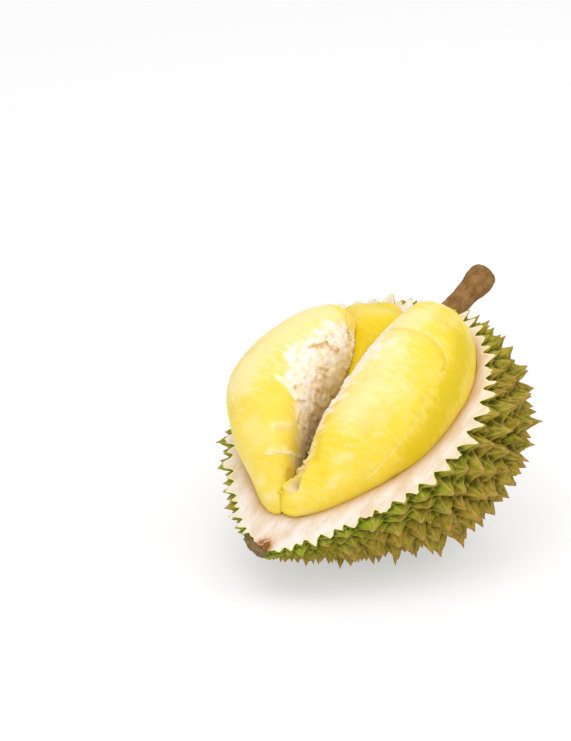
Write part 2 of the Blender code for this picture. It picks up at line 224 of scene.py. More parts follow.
def cutRowThorns(random):
    turn = np.linspace(0, 2 * math.pi, 721)
    outline = bodyPoints(np.stack([np.cos(turn), np.sin(turn), 0 * turn], 1))
    size, _ = thornSizes(np.sin(turn))
    far = husk["flatSide"][0] * np.cos(turn) + husk["flatSide"][1] * np.sin(turn) > thorns["farRowStart"]
    size = np.where(far, thorns["farRowSize"], size)
    steps = np.linalg.norm(np.diff(outline, axis=0), axis=1) / size[1:]
    travel = np.r_[0, np.cumsum(steps)]
    count = round(travel[-1] / thorns["spacing"])
    shifts = random.uniform(-1, 1, (count, 2)) * thorns["cutRowJitter"]
    places = (np.arange(count) + 0.5) / count * travel[-1] + shifts[:, 0]
    turn = np.interp(places, travel, turn)
    directions = np.stack([np.cos(turn), np.sin(turn), shifts[:, 1] / husk["depth"]], 1)
    return directions / np.linalg.norm(directions, axis=1)[:, None]


def thornDirections(random):
    # the thorns' directions, and how far each one's height leaves the usual, from -1 to 1
    spiral = spiralThorns(random)
    spreads = random.uniform(-1, 1, len(spiral))
    size, _ = thornSizes(spiral[:, 1])
    apart = np.abs(bodyPoints(spiral)[:, 2]) > thorns["cutRowHalfWidth"] * size
    row = cutRowThorns(random)
    rowSpreads = random.uniform(-1, 1, len(row))
    return np.vstack([spiral[apart], row]), np.r_[spreads[apart], rowSpreads]


def thornCells(directions):
    # for each thorn, the corners of its base in order, as (corner number, unit direction)
    bm = bmesh.new()
    for direction in directions:
        bm.verts.new(direction)
    bm.verts.ensure_lookup_table()
    bm.verts.index_update()
    bmesh.ops.convex_hull(bm, input=bm.verts[:], use_existing_faces=False)
    bmesh.ops.triangulate(bm, faces=bm.faces[:])
    bm.verts.ensure_lookup_table()
    cells = []
    for vertex in bm.verts:
        axis = vertex.co.normalized()
        across = axis.orthogonal().normalized()
        along = axis.cross(across)
        centres = [face.calc_center_median().normalized() for face in vertex.link_faces]
        turns = [math.atan2(c.dot(along), c.dot(across)) for c in centres]
        order = sorted(range(len(turns)), key=turns.__getitem__)
        cells.append([(vertex.link_faces[i].index, tuple(centres[i])) for i in order])
    bm.free()
    return cells


def smoothFaces(bm):
    bmesh.ops.recalc_face_normals(bm, faces=bm.faces[:])
    for face in bm.faces:
        face.smooth = True


class Skin:
    # collects points with what the material needs to know about them, and faces

    def __init__(self, *marks):
        self.places = []
        self.faces = []
        self.marks = {mark: [] for mark in marks}

    def add(self, place, **marks):
        self.places.append(tuple(place))
        for mark, values in self.marks.items():
            values.append(marks.get(mark, 0.0))
        return len(self.places) - 1

    def joinLoops(self, lower, upper):
        for a in range(len(lower)):
            b = (a + 1) % len(lower)
            self.faces.append((lower[a], lower[b], upper[b], upper[a]))

    def closeLoop(self, loop, top):
        for a in range(len(loop)):
            self.faces.append((loop[a], loop[(a + 1) % len(loop)], top))

    def closedTube(self, name, loops, ends):
        # a mesh through these loops, and to one point at each end
        for lower, upper in zip(loops, loops[1:]):
            self.joinLoops(lower, upper)
        self.closeLoop(loops[0][::-1], ends[0])
        self.closeLoop(loops[-1], ends[1])
        made = self.mesh(name)
        bm = bmesh.new()
        bm.from_mesh(made)
        smoothFaces(bm)
        bm.to_mesh(made)
        bm.free()
        return made

    def mesh(self, name):
        made = bpy.data.meshes.new(name)
        made.from_pydata(self.places, [], self.faces)
        for mark, values in self.marks.items():
            layer = made.attributes.new(mark, "FLOAT", "POINT")
            layer.data.foreach_set("value", values)
        return made


def stemFoot():
    direction = Vector((math.sin(stem["lean"]), math.cos(stem["lean"]), 0))
    down = stem["drop"] / husk["depth"]
    end = bodyPoints([(0, math.sqrt(1 - down**2), -down)])[0]
    return Vector(end) + Vector((stem["side"], 0, 0)), direction


def growThorn(skin, loop, places, heightSpread, hue, flankHues, lean, ridges):
    # a pyramid on its own loop of base points, with slightly hollow flanks and sharp ridges
    sidePlaces = np.array(thorns["sidePlaces"])
    steps = len(sidePlaces)
    corners = places[::steps]
    centre = corners.mean(0)
    following = np.roll(corners, -1, 0)
    areaVector = np.cross(corners - centre, following - centre).sum(0) / 2
    area = np.linalg.norm(areaVector)
    normal = areaVector / area
    leaning = (abs(centre[2]) - thorns["levelAbove"]) / (thorns["leaningBelow"] - thorns["levelAbove"])
    normal[2] *= min(1.0, max(0.0, leaning))
    normal /= np.linalg.norm(normal)
    height = thorns["slenderness"] * math.sqrt(area) * (1 + thorns["heightSpread"] * heightSpread)
    tip = np.array((0, -husk["toTip"], 0))
    bare = min(
        np.linalg.norm(centre - np.array(stemFoot()[0])) / thorns["bareAtStem"],
        np.linalg.norm(centre - tip) / thorns["bareAtTip"],
    )
    height *= min(1.0, max(thorns["stubHeight"], bare - thorns["bareStart"]))
    side = sidePlaces[np.arange(len(loop)) % steps]
    hollow = 4 * side * (1 - side)
    keenness = ridges[np.round(np.arange(len(loop)) / steps).astype(int) % len(corners)]
    ridge = ridgeMark(side) * keenness
    hues = 0.5 * hue + 0.5 * flankHues[np.arange(len(loop)) // steps]
    hollow = np.maximum(hollow, thorns["dullInset"] * (1 - keenness) * ridgeMark(side))
    turn = lean * thorns["leanTurn"]
    aside = math.cos(turn) * corners[0] + math.sin(turn) * corners[1] - centre
    aside -= normal * aside.dot(normal)
    aside /= np.linalg.norm(aside)
    height *= 0.1 + 0.9 * float(smoothStep(np.linalg.norm(centre - tipStub["place"]), *tipStub["thornsFrom"]))
    level = min(1.0, abs(centre[2]) / thorns["levelAbove"])  # those in the cut don't bend away from it
    bend = aside * height * thorns["lean"] * lean * level
    flatSide = husk["flatSide"][0] * centre[0] + husk["flatSide"][1] * centre[1]
    blunt = smoothStep(flatSide, *thorns["bluntFrom"])
    blunt *= 1 - smoothStep(abs(centre[2]), *thorns["bluntDepth"])
    sweep = thorns["sweep"] - thorns["rounder"] * blunt
    height *= 1 - thorns["lower"] * blunt
    lower = loop
    for left in thorns["levels"]:
        rise = (1 - left) ** sweep
        drawnIn = 1 - thorns["bow"] * hollow * min(1, 4 * (1 - left)) * (1 - 0.4 * rise)
        ring = centre + left * drawnIn[:, None] * (places - centre) + normal * height * rise
        ring = ring + bend * rise**2
        rough = thorns["roughness"] * noiseAt(ring, 0.0045, seed=3, octaves=2) * min(1, 2 * left + 0.2)
        rough = rough[:, None]
        ring = ring + normal * rough + (ring - centre) * (rough / 0.005)
        upper = [skin.add(p, rise=rise, ridge=r, hue=h) for p, r, h in zip(ring, ridge, hues)]
        skin.joinLoops(lower, upper)
        lower = upper
    skin.closeLoop(lower, skin.add(centre + normal * height + bend, rise=1.0, ridge=1.0, hue=hue))


def ridgeMark(side):
    # 1 on a thorn's ridge, falling to 0 towards the middle of the side of its base
    return np.clip(1 - np.minimum(side, 1 - side) / thorns["ridgeReach"], 0, 1)


def huskSkin():
    # thorns side by side; neighbours share the points along their common groove
    shape = np.random.default_rng(husk["seed"])  # the CAD husk's own draws, so its thorns stand here too
    extra = np.random.default_rng(husk["seed"] + 1)
    noise.seed_set(husk["seed"])  # the skin's unevenness starts from it
    skin = Skin("rise", "ridge", "hue")
    sidePlaces = np.array(thorns["sidePlaces"][1:])
    cornerAt, sideAt = {}, {}
    directions, spreads = thornDirections(shape)
    for cell, heightSpread in zip(thornCells(directions), spreads):
        hue, lean = extra.uniform(size=2)
        ridges = extra.uniform(0.3, 1.0, len(cell))
        flankHues = extra.uniform(size=len(cell))
        corners = bodyPoints([direction for _, direction in cell])
        if corners.mean(0)[2] > thorns["keepBelow"]:
            continue
        loop = []
        for k, (number, _) in enumerate(cell):
            other = cell[(k + 1) % len(cell)][0]
            a, b = corners[k], corners[(k + 1) % len(cell)]
            if number not in cornerAt:
                cornerAt[number] = skin.add(a, ridge=1.0, hue=0.5)
            loop.append(cornerAt[number])
            key = (min(number, other), max(number, other))
            if key not in sideAt:
                inward = -(a + b) * (1, 0.3, 1)
                inward /= np.linalg.norm(inward)
                made = []
                for s in sidePlaces:
                    place = a + (b - a) * s + inward * thorns["valley"] * 4 * s * (1 - s)
                    made.append(skin.add(place, ridge=float(ridgeMark(s)), hue=0.5))
                sideAt[key] = (number, made)
            first, made = sideAt[key]
            loop += made if first == number else made[::-1]
        places = np.array([skin.places[i] for i in loop])
        growThorn(skin, loop, places, heightSpread, hue, flankHues, lean, ridges)
    skin.places = [tuple(np.array(p) + unevenAt(p)) for p in skin.places]
    return skin.mesh("rindSkin")


def unevenAt(place):
    moved = Vector()
    for width, reach in unevenness:
        moved += noise.noise_vector(Vector(place) / width) * reach
    return np.array(moved)


def swellTip(bm):
    # the blossom end is a rough, rounded stub
    middle = Vector(tipStub["place"])
    near = [v for v in bm.verts if (v.co - middle).length < tipStub["reach"]]
    places = np.array([v.co for v in near])
    lumps = noiseAt(places, 0.0038, seed=14, octaves=3)
    for vertex, lump in zip(near, lumps):
        away = vertex.co - middle
        share = 1 - float(smoothStep(away.length, 0.5 * tipStub["reach"], tipStub["reach"]))
        outward = (away + Vector((0, -0.006, -0.001))).normalized()
        high = float(smoothStep(vertex.co.z, -tipStub["edgeDepth"], -0.0005))
        vertex.co += outward * share * (tipStub["swell"] * (1 - high) + tipStub["lumps"] * lump)
        vertex.co.y += share * high * tipStub["edgeBack"]


def keepLargestIsland(bm):
    left = set(bm.verts)
    islands = []
    while left:
        todo = [left.pop()]
        island = list(todo)
        while todo:
            for edge in todo.pop().link_edges:
                for other in edge.verts:
                    if other in left:
                        left.remove(other)
                        todo.append(other)
                        island.append(other)
        islands.append(island)
    islands.sort(key=len)
    for island in islands[:-1]:
        bmesh.ops.delete(bm, geom=island, context="VERTS")


def sliceOff(bm, point, normal):
    geometry = bm.verts[:] + bm.edges[:] + bm.faces[:]
    plane = {"plane_co": point, "plane_no": normal}
    made = bmesh.ops.bisect_plane(bm, geom=geometry, dist=1e-7, clear_outer=True, **plane)
    return [item for item in made["geom_cut"] if isinstance(item, bmesh.types.BMEdge)]


def edgeLoops(edges):
    # the closed loops that these edges make, each as its vertices in order
    beside = {}
    for edge in edges:
        for vertex in edge.verts:
            beside.setdefault(vertex, []).append(edge.other_vert(vertex))
    left, loops = set(beside), []
    while left:
        start = left.pop()
        loop, last = [start], None
        while True:
            onward = [v for v in beside[loop[-1]] if v is not last and (v in left or v is start)]
            last = loop[-1]
            if not onward or onward[0] is start:
                break
            loop.append(onward[0])
            left.discard(onward[0])
        loops.append(loop)
    return sorted(loops, key=len)


def insideLoop(points, loop):
    # which points lie inside a closed outline, by counting crossings
    inside = np.zeros(len(points), bool)
    x, y = points[:, 0], points[:, 1]
    for (ax, ay), (bx, by) in zip(loop, np.roll(loop, -1, 0)):
        if ay == by:
            continue
        crosses = (ay > y) != (by > y)
        inside ^= crosses & (x < (bx - ax) * (y - ay) / (by - ay) + ax)
    return inside


def gapTo(points, line):
    # distance from each point to a line through given places
    line = np.asarray(line, float)
    best = np.full(len(points), 1e9)
    for a, b in zip(line, line[1:]):
        run = b - a
        share = np.clip(((points - a) @ run) / max(run @ run, 1e-18), 0, 1)
        away = points - a - share[:, None] * run
        best = np.minimum(best, np.einsum("ij,ij->i", away, away))
    return np.sqrt(best)


def closed(loop):
    return np.vstack([loop, loop[:1]])


def cavityDepth(x, y):
    # how deep the hollow is under each place of the cut face; negative outside it
    middle = (cavity["front"] + cavity["back"]) / 2
    half = (cavity["back"] - cavity["front"]) / 2
    along = np.clip((y - middle) / half, -1, 1)
    radius = np.sqrt(np.maximum(1 - along**2, 0)) * ringShrink(along)
    across = 1 - (x / np.maximum(cavity["halfWidth"] * radius, 1e-6)) ** 2
    depth = cavity["depth"] * radius * np.sqrt(np.maximum(across, 0)) - cavity["brim"]
    for lobe in lobes.values():
        (middle, z, half, _, drop), past = lobeAt(lobe, y, cavity["room"])
        share = 1 - ((x - middle) / (half + cavity["room"])) ** 2
        bed = np.where(share > 0, drop * np.sqrt(np.maximum(share, 0)) - z + cavity["room"], -1)
        depth = np.maximum(depth, np.where(past, -1, bed))
    return depth


def cavityRim():
    # the outline of the hollow in the cut face, as its distance from the middle at even turns
    turns = np.arange(cavity["turns"]) / cavity["turns"] * 2 * math.pi
    reach = np.linspace(0.002, 0.12, 500)
    x = reach[None, :] * np.cos(turns)[:, None]
    y = reach[None, :] * np.sin(turns)[:, None]
    open_ = cavityDepth(x.ravel(), y.ravel()).reshape(x.shape) > pith["rimSink"] * 0.5
    rim = np.array([reach[np.nonzero(row)[0][-1]] for row in open_])
    for _ in range(2):  # takes the steps of the search out of it
        rim = (np.roll(rim, 1) + 2 * rim + np.roll(rim, -1)) / 4
    return turns, rim


def addPith(bm):
    # closes the husk: the cut face from the thorns' outline to the hollow's rim, and the hollow itself
    nearSkin, nearFlesh, stain = map(bm.verts.layers.float.new, ("nearSkin", "nearFlesh", "stain"))
    loops = edgeLoops([edge for edge in bm.edges if edge.is_boundary])
    for loop in loops[:-1]:  # thorns that rise back through the cut: each leaves a small pale slice
        middle = bm.verts.new(sum((v.co for v in loop), Vector()) / len(loop))
        for a, b in zip(loop, loop[1:] + loop[:1]):
            a[nearSkin] = 1.0
            bm.faces.new((a, b, middle)).material_index = 1
    outer = loops[-1]
    outline = np.array([v.co[:2] for v in outer])
    turns, rim = cavityRim()
    rimPlaces = np.stack([rim * np.cos(turns), rim * np.sin(turns)], 1)

    low, high = outline.min(0), outline.max(0)
    random = np.random.default_rng(5)
    columns = np.arange(low[0], high[0], pith["grid"])
    rows = np.arange(low[1], high[1], pith["grid"] * 0.866)
    grid = np.array([(c + (i % 2) * pith["grid"] / 2, r) for i, r in enumerate(rows) for c in columns])
    grid += random.uniform(-0.22, 0.22, grid.shape) * pith["grid"]
    grid = grid[insideLoop(grid, outline) & ~insideLoop(grid, rimPlaces)]
    toSkin, toRim = gapTo(grid, closed(outline)), gapTo(grid, closed(rimPlaces))
    kept = np.minimum(toSkin, toRim) > 0.5 * pith["grid"]
    grid, toSkin, toRim = grid[kept], toSkin[kept], toRim[kept]

    uneven = noiseAt(np.c_[grid, np.zeros(len(grid))], 0.004, seed=8, octaves=3)
    sink = pith["rimSink"] * (1 - smoothStep(toRim, 0, pith["rimWidth"]))
    heights = -sink - pith["fibre"] * (1 + uneven) * smoothStep(toSkin, 0, 0.003)
    rimVerts = [bm.verts.new((x, y, -pith["rimSink"])) for x, y in rimPlaces]
    inner = [bm.verts.new((x, y, z)) for (x, y), z in zip(grid, heights)]
    for vertex, skinGap, rimGap in zip(inner, toSkin, toRim):
        vertex[nearSkin] = math.exp(-skinGap / pith["skinFade"])
        vertex[nearFlesh] = math.exp(-rimGap / pith["fleshFade"])
    for vertex in outer + inner:
        away = (vertex.co - Vector(pith["stainPlace"])).length
        vertex[stain] = math.exp(-((away / pith["stainReach"]) ** 2))
    for vertex in outer:
        vertex[nearSkin] = 1.0
    for vertex in rimVerts:
        vertex[nearFlesh] = 1.0

    known = outer + rimVerts + inner
    flat = [Vector(v.co[:2]) for v in known]
    a, b = len(outer), len(rimVerts)
    ties = [(i, (i + 1) % a) for i in range(a)] + [(a + i, a + (i + 1) % b) for i in range(b)]
    places, _, faces, origins, _, _ = delaunay_2d_cdt(flat, ties, [], 1, 1e-8)
    middles = np.array([sum((places[i] for i in face), Vector((0, 0))) / 3 for face in faces])
    wanted = insideLoop(middles, outline) & ~insideLoop(middles, rimPlaces)
    for face, keep in zip(faces, wanted):
        corners = [known[origins[i][0]] for i in face]
        if keep and len(set(corners)) == 3:
            bm.faces.new(corners).material_index = 1

    ring = rimVerts
    for i in range(cavity["rings"] - 1, 0, -1):
        share = math.sin(math.pi / 2 * i / cavity["rings"])
        x, y = share * rimPlaces[:, 0], share * rimPlaces[:, 1]
        deep = np.maximum(cavityDepth(x, y), pith["rimSink"] * 1.02)
        below = [bm.verts.new(p) for p in zip(x, y, -deep)]
        for k, vertex in enumerate(below):
            vertex[nearFlesh] = pith["hollowShade"]
            after = (k + 1) % len(below)
            bm.faces.new((ring[k], ring[after], below[after], below[k])).material_index = 1
        ring = below
    bottom = bm.verts.new((0, 0, -float(cavityDepth(np.zeros(1), np.zeros(1))[0])))
    bottom[nearFlesh] = pith["hollowShade"]
    for a, b in zip(ring, ring[1:] + ring[:1]):
        bm.faces.new((a, b, bottom)).material_index = 1


def buildRind(toRow):
    bm = bmesh.new()
    bm.from_mesh(huskSkin())
    swellTip(bm)
    toFruit = toRow.inverted()
    down = toFruit.to_3x3() @ Vector((0, 0, -1))
    worn = sliceOff(bm, toFruit @ Vector((0, 0, 0)), down)  # the thorns that the half lies on
    bmesh.ops.holes_fill(bm, edges=worn, sides=0)
    sliceOff(bm, Vector((0, 0, 0)), Vector((0, 0, 1)))
    keepLargestIsland(bm)
    addPith(bm)
    bmesh.ops.triangulate(bm, faces=[face for face in bm.faces if len(face.verts) > 4])
    smoothFaces(bm)
    for edge in bm.edges:
        edge.smooth = len({face.material_index for face in edge.link_faces}) == 1
    scar, fresh = map(bm.verts.layers.float.new, ("scar", "fresh"))
    foot, tip = stemFoot()[0], Vector(tipStub["place"])
    for vertex in bm.verts:
        atTip = 1 - smoothStep((vertex.co - tip).length, 0.66 * tipStub["reach"], 0.84 * tipStub["reach"])
        atStem = 1 - smoothStep((vertex.co - foot).length, 0.010, 0.018)
        vertex[scar] = float(max(atTip, 0.7 * atStem))
        toTip = 1 - smoothStep(vertex.co.y, -0.090, 0.030)
        vertex[fresh] = float(smoothStep(vertex.co.z, -0.040, -0.004) * (0.25 + 0.75 * toTip))
    mesh = bpy.data.meshes.new("durianHusk")
    bm.to_mesh(mesh)
    bm.free()
    return mesh


# ---- flesh ----

# Lengths are in millimetres. Stations: (y, x and z of the widest line, half width, rise and drop from it).
# Places on a lobe are (y, degrees about that line, from its +x side over the top).
# Strokes: what they add to and how much, half width, height, and the places they run through.
lobes = {
    "right": {
        "stations": [
            (-87.8, 2, 2, 7, 3.5, 3.5),
            (-84, 3.5, 4, 11.8, 8, 8.5),
            (-77, 8, 5, 15.5, 14, 14),
            (-69, 15.8, 6, 15.2, 19, 19.5),
            (-60, 20.2, 8, 19, 22.5, 26),
            (-40, 26.4, 13, 27.5, 31.2, 41),
            (-13, 33.4, 17, 33.8, 36.8, 56),
            (21, 36.6, 20, 34.6, 39.6, 61),
            (52, 36.8, 20, 30.8, 37.2, 55),
            (78, 32, 17, 22.8, 28.5, 33),
            (89, 28.5, 13, 11, 15, 11),
        ],
        "rows": 290,
        "sides": 250,
        "square": 1,
        # the torn white skin between this line and the neighbouring lobe
        "film": [(-68, 138), (-58, 122), (-33, 117), (-2, 115), (12, 110), (20, 103), (30, 112),
            (40, 120), (50, 130), (62, 145)],
        "filmWay": 1,
        "tone": (0.12, 0),  # how pale and how deep its yellow is all over
        # a hollow torn out of its side: its places, each with its half width there
        "notch": [(-60, 146, 0.6), (-69, 133, 4.8), (-75.5, 115, 6.6)],
        "strokes": [
            # the crease: a sunk groove painted deeper yellow as its shade, and a raised lip just above it
            # painted paler as its highlight
            ("deep", 0.5, 2.6, -1.8, [(35, 118), (37.2, 105), (39.6, 90), (41.2, 73), (41.5, 58),
                (40.2, 43), (36.1, 34), (30, 30)]),
            ("pale", 1, 2.2, 0.7, [(38, 118), (40.2, 105), (42.6, 90), (44.2, 73), (44.5, 58), (43, 43)]),
            ("pale", 0.5, 1.2, 0.4, [(7.3, 24), (-11.3, 16), (-22.9, 13), (-32.9, 9), (-43.1, 5),
                (-50.9, 2)]),
            ("pale", 0.55, 6, 0, [(-56.3, 59), (-50.7, 50)]),
            ("pale", 0.5, 5, 0, [(-62.9, 41), (-68.1, 36)]),
            ("film", 0.45, 6, 0.2, [(30, 128), (20, 104), (28, 92)]),
            # paler over the top of the lobe: painted light where it falls from above
            ("pale", 0.85, 26, 0, [(50, 105), (10, 88), (-25, 78)]),
            ("deep", 0, 10, -4.8, [(-73, 165), (-62, 165)]),
            ("deep", 0.6, 8, 0, [(-15, 122), (-28, 122), (-57.9, 105)]),
            # deeper yellow down the lobe's outer +x side: painted shade on the side turned from the light
            ("deep", 1, 22, 0, [(60, 20), (40, 8), (15, 0), (-20, -8)]),
            ("deep", 0.35, 8, 0, [(71.6, 59), (60, 60)]),
            ("deep", 0.7, 1.3, -1.6, [(-81.5, 150), (-80, 120), (-79.8, 95), (-77.4, 87), (-73.8, 96),
                (-70, 110)]),
            ("pale", 0.9, 7, 0, [(75.7, 112), (79.3, 92), (80.5, 71)]),
        ],
    },
    "left": {
        "stations": [
            (-89, -11.5, 1, 5.5, 3.5, 3.5),
            (-85, -14.8, 5, 9.5, 9.5, 10.5),
            (-74, -21.5, 11, 15.8, 18, 23),
            (-60, -31, 19, 23.5, 25.5, 40),
            (-33, -44, 29, 30.5, 31.5, 62),
            (-2, -46.5, 31, 31, 32, 71),
            (27, -43, 30, 28.3, 28.3, 67),
            (45, -42.2, 27, 20.8, 24.5, 52),
            (56, -41.2, 25, 15.8, 19.8, 30),
        ],
        "rows": 280,
        "sides": 260,
        "square": 0.8,  # under 1, the upper side towards +x is fuller than round
        "film": [(-62, 20), (-56, -6), (-41.6, -4), (-37.4, 16), (-28.8, 27), (-24.6, 55), (-15.2, 64),
            (-2.6, 68), (15.2, 66), (27.5, 64), (37.5, 58), (46, 30), (54, 0)],
        "filmWay": -1,
        "tone": (0.22, 0),
        "notch": [],
        "strokes": [
            ("film", 0.9, 1.3, -1.6, [(-68.7, 71), (-64.5, 41), (-58.4, 13), (-49, -14)]),
            ("pale", 0.8, 5, 0.4, [(-66, 60), (-60, 25)]),
            # the crevice strokes are sunk grooves in the film, also painted darker tan as their shade
            ("creviceShade", 0.35, 3, -0.7, [(-52.1, 44), (-43.6, 15)]),
            ("pale", 0.6, 5, 0, [(-52.1, 50), (-43.6, 18)]),
            ("creviceShade", 1, 1.4, -1.7, [(9.6, 50), (14.6, 44), (20.8, 39), (20.7, 26), (22.8, 15)]),
            ("creviceShade", 0.9, 1.2, -1.5, [(20.8, 38), (25.1, 16)]),
            ("creviceShade", 0.9, 1.3, -1.4, [(3.7, 20), (9.5, 7)]),
            ("creviceShade", 0.8, 1.2, -1.3, [(-26.8, 21), (-21.2, 9)]),
            ("creviceShade", 0.8, 1.2, -1.3, [(-29.4, 9), (-36.6, 8), (-33.5, -6)]),
            ("film", -1.5, 2, 1, [(55.3, 38), (51, 25), (47.6, 14), (45.4, 4), (41.3, -1)]),
            # dark: a painted shade line low on the side that faces the other lobe, along the gap
            ("dark", 0.8, 2.2, -1.2, [(8, -22), (-15, -22), (-33, -21), (-50, -25)]),
            ("deep", 0.4, 6, 1.2, [(-66.4, 1), (-69.5, -1)]),
            ("pale", 0.9, 16, 0, [(50, 100), (42, 70), (40, 45)]),
            # paler along the top of the lobe: painted light where it falls from above
            ("pale", 0.8, 26, 0, [(35, 105), (0, 105), (-30, 105)]),
            # whitish film colour along the upper left contour: a painted rim highlight
            ("film", 0.4, 7, 0, [(-15, 142), (20, 136), (42, 122), (56, 105)]),
            ("pale", 0.5, 6, 0, [(-85, 60), (-87, 100)]),
        ],
    },
    "back": {
        "stations": [
            (2, -8, 4, 2, 3, 3),
            (15, -10, 6, 6, 11, 25),
            (40, -14, 8, 10, 15, 40),
            (60, -22, 11, 19, 16.5, 36),
            (78, -28.5, 9, 26.5, 15, 22),
            (89, -26.5, 7, 13, 7.5, 7),
        ],
        "rows": 150,
        "sides": 130,
        "square": 1,
        "film": [(-10, 300), (100, 300)],  # none
        "filmWay": 1,
        "tone": (0, 0.6),
        "notch": [],
        "strokes": [
            ("pale", 0.7, 8, 0, [(78, 120), (70.6, 100), (78.8, 61)]),
            ("deep", 0.8, 12, 0, [(49.7, 91), (33.9, 96), (15, 95)]),
        ],
    },
}

flesh = {
    "seam": -90,  # degrees at which the rings start, under the lobe
    "caps": 16,
    "frontCap": 0.25,  # lengths of the round caps on the ends, as shares of the half width there
    "backCap": 0.55,
    "endPasses": 30,
    "filmDepth": 0.0005,
    "filmRough": 0.0012,
    "wrinkle": 0.00016,
    "notchDepth": 0.62,  # as a share of the way to the lobe's middle
    # unevenness of the skin: its width along the lobe, and how many times longer it is around it
    "streaks": (0.0022, 9),
    "fine": (0.0022, 2.6),
    "ragged": (0.0060, 3.0),
    "folds": (0.0068, 2.2),
    "flakes": (0.0036, 1.7),
}


def lobeRows(stations, count):
    # stations read from one smooth curve through the given ones, closer together at the two ends
    table = np.array(stations) * millimetre
    last = len(table) - 1
    places = (1 - np.cos(np.pi * np.arange(count) / (count - 1))) / 2 * last
    i = np.minimum(places.astype(int), last - 1)
    s = (places - i)[:, None]
    before, a, b = table[np.maximum(i - 1, 0)], table[i], table[i + 1]
    after = table[np.minimum(i + 2, last)]
    curve = a * 2 + (b - before) * s
    curve = curve + (2 * before - 5 * a + 4 * b - after) * s**2
    curve = curve + (3 * a - before - 3 * b + after) * s**3
    return curve / 2


def lobeAt(lobe, y, room=0.0):
    # what the stations say at each y, and whether that is past the lobe's ends
    table = lobeRows(lobe["stations"], 200)
    past = (y < table[0, 0] - room) | (y > table[-1, 0] + room)
    return [np.interp(y, table[:, 0], table[:, k]) for k in range(1, 6)], past


def roundedRows(lobe):
    # the rows, with both ends drawn to a point over a round cap
    rows = lobeRows(lobe["stations"], lobe["rows"])
    ends = []
    for row, way, length in ((rows[0], -1, flesh["frontCap"]), (rows[-1], 1, flesh["backCap"])):
        cap = []
        for k in range(1, flesh["caps"] + 1):
            turn = math.pi / 2 * k / flesh["caps"]
            made = row.copy()
            made[0] += way * length * row[3] * math.sin(turn)
            made[3:] *= math.cos(turn) if k < flesh["caps"] else 0.02
            cap.append(made)
        ends.append(cap)
    return np.array(ends[0][::-1] + list(rows) + ends[1])


def lobePoints(rows, turns, square):
    # rows of (y, x, z, half width, rise, drop), and a turn for each point of a row or for each row
    y, x, z, half, rise, drop = (rows[:, k].reshape(-1, *[1] * (turns.ndim - 1)) for k in range(6))
    across, up = np.cos(turns), np.sin(turns)
    fuller = (across > 0) & (up > 0)
    across = np.where(fuller, np.abs(across) ** square, across)
    tall = np.where(up > 0, rise, drop) * np.where(fuller, np.abs(up) ** square, up)
    return np.stack([x + half * across, y + 0 * turns, z + tall], -1)


def onLobe(lobe, places):
    # the points at these (y, degrees)
    y, degrees = np.array(places, float).T
    rows = np.stack([y * millimetre, *lobeAt(lobe, y * millimetre)[0]], 1)
    return lobePoints(rows, np.radians(degrees), lobe["square"])


def gridNormals(points):
    along = np.gradient(points, axis=0)
    around = np.roll(points, -1, 1) - np.roll(points, 1, 1)
    normals = np.cross(around, along)
    return normals / np.maximum(np.linalg.norm(normals, axis=2, keepdims=True), 1e-12)


def pressAgainst(points, rows, other, room):
    # where this lobe would run into another, it is pressed in towards its own middle until it clears it
    own = rows[:, None, [1, 0, 2]]

    def inside(p):
        (x, z, half, rise, drop), past = lobeAt(other, p[..., 1])
        tall = np.where(p[..., 2] > z, rise, drop) + room
        return (((p[..., 0] - x) / (half + room)) ** 2 + ((p[..., 2] - z) / tall) ** 2 < 1) & ~past

    kept = np.ones(points.shape[:2])
    for _ in range(40):
        kept = np.where(inside(own + (points - own) * kept[..., None]), kept - 0.02, kept)
    return own + (points - own) * np.maximum(kept, 0.1)[..., None]


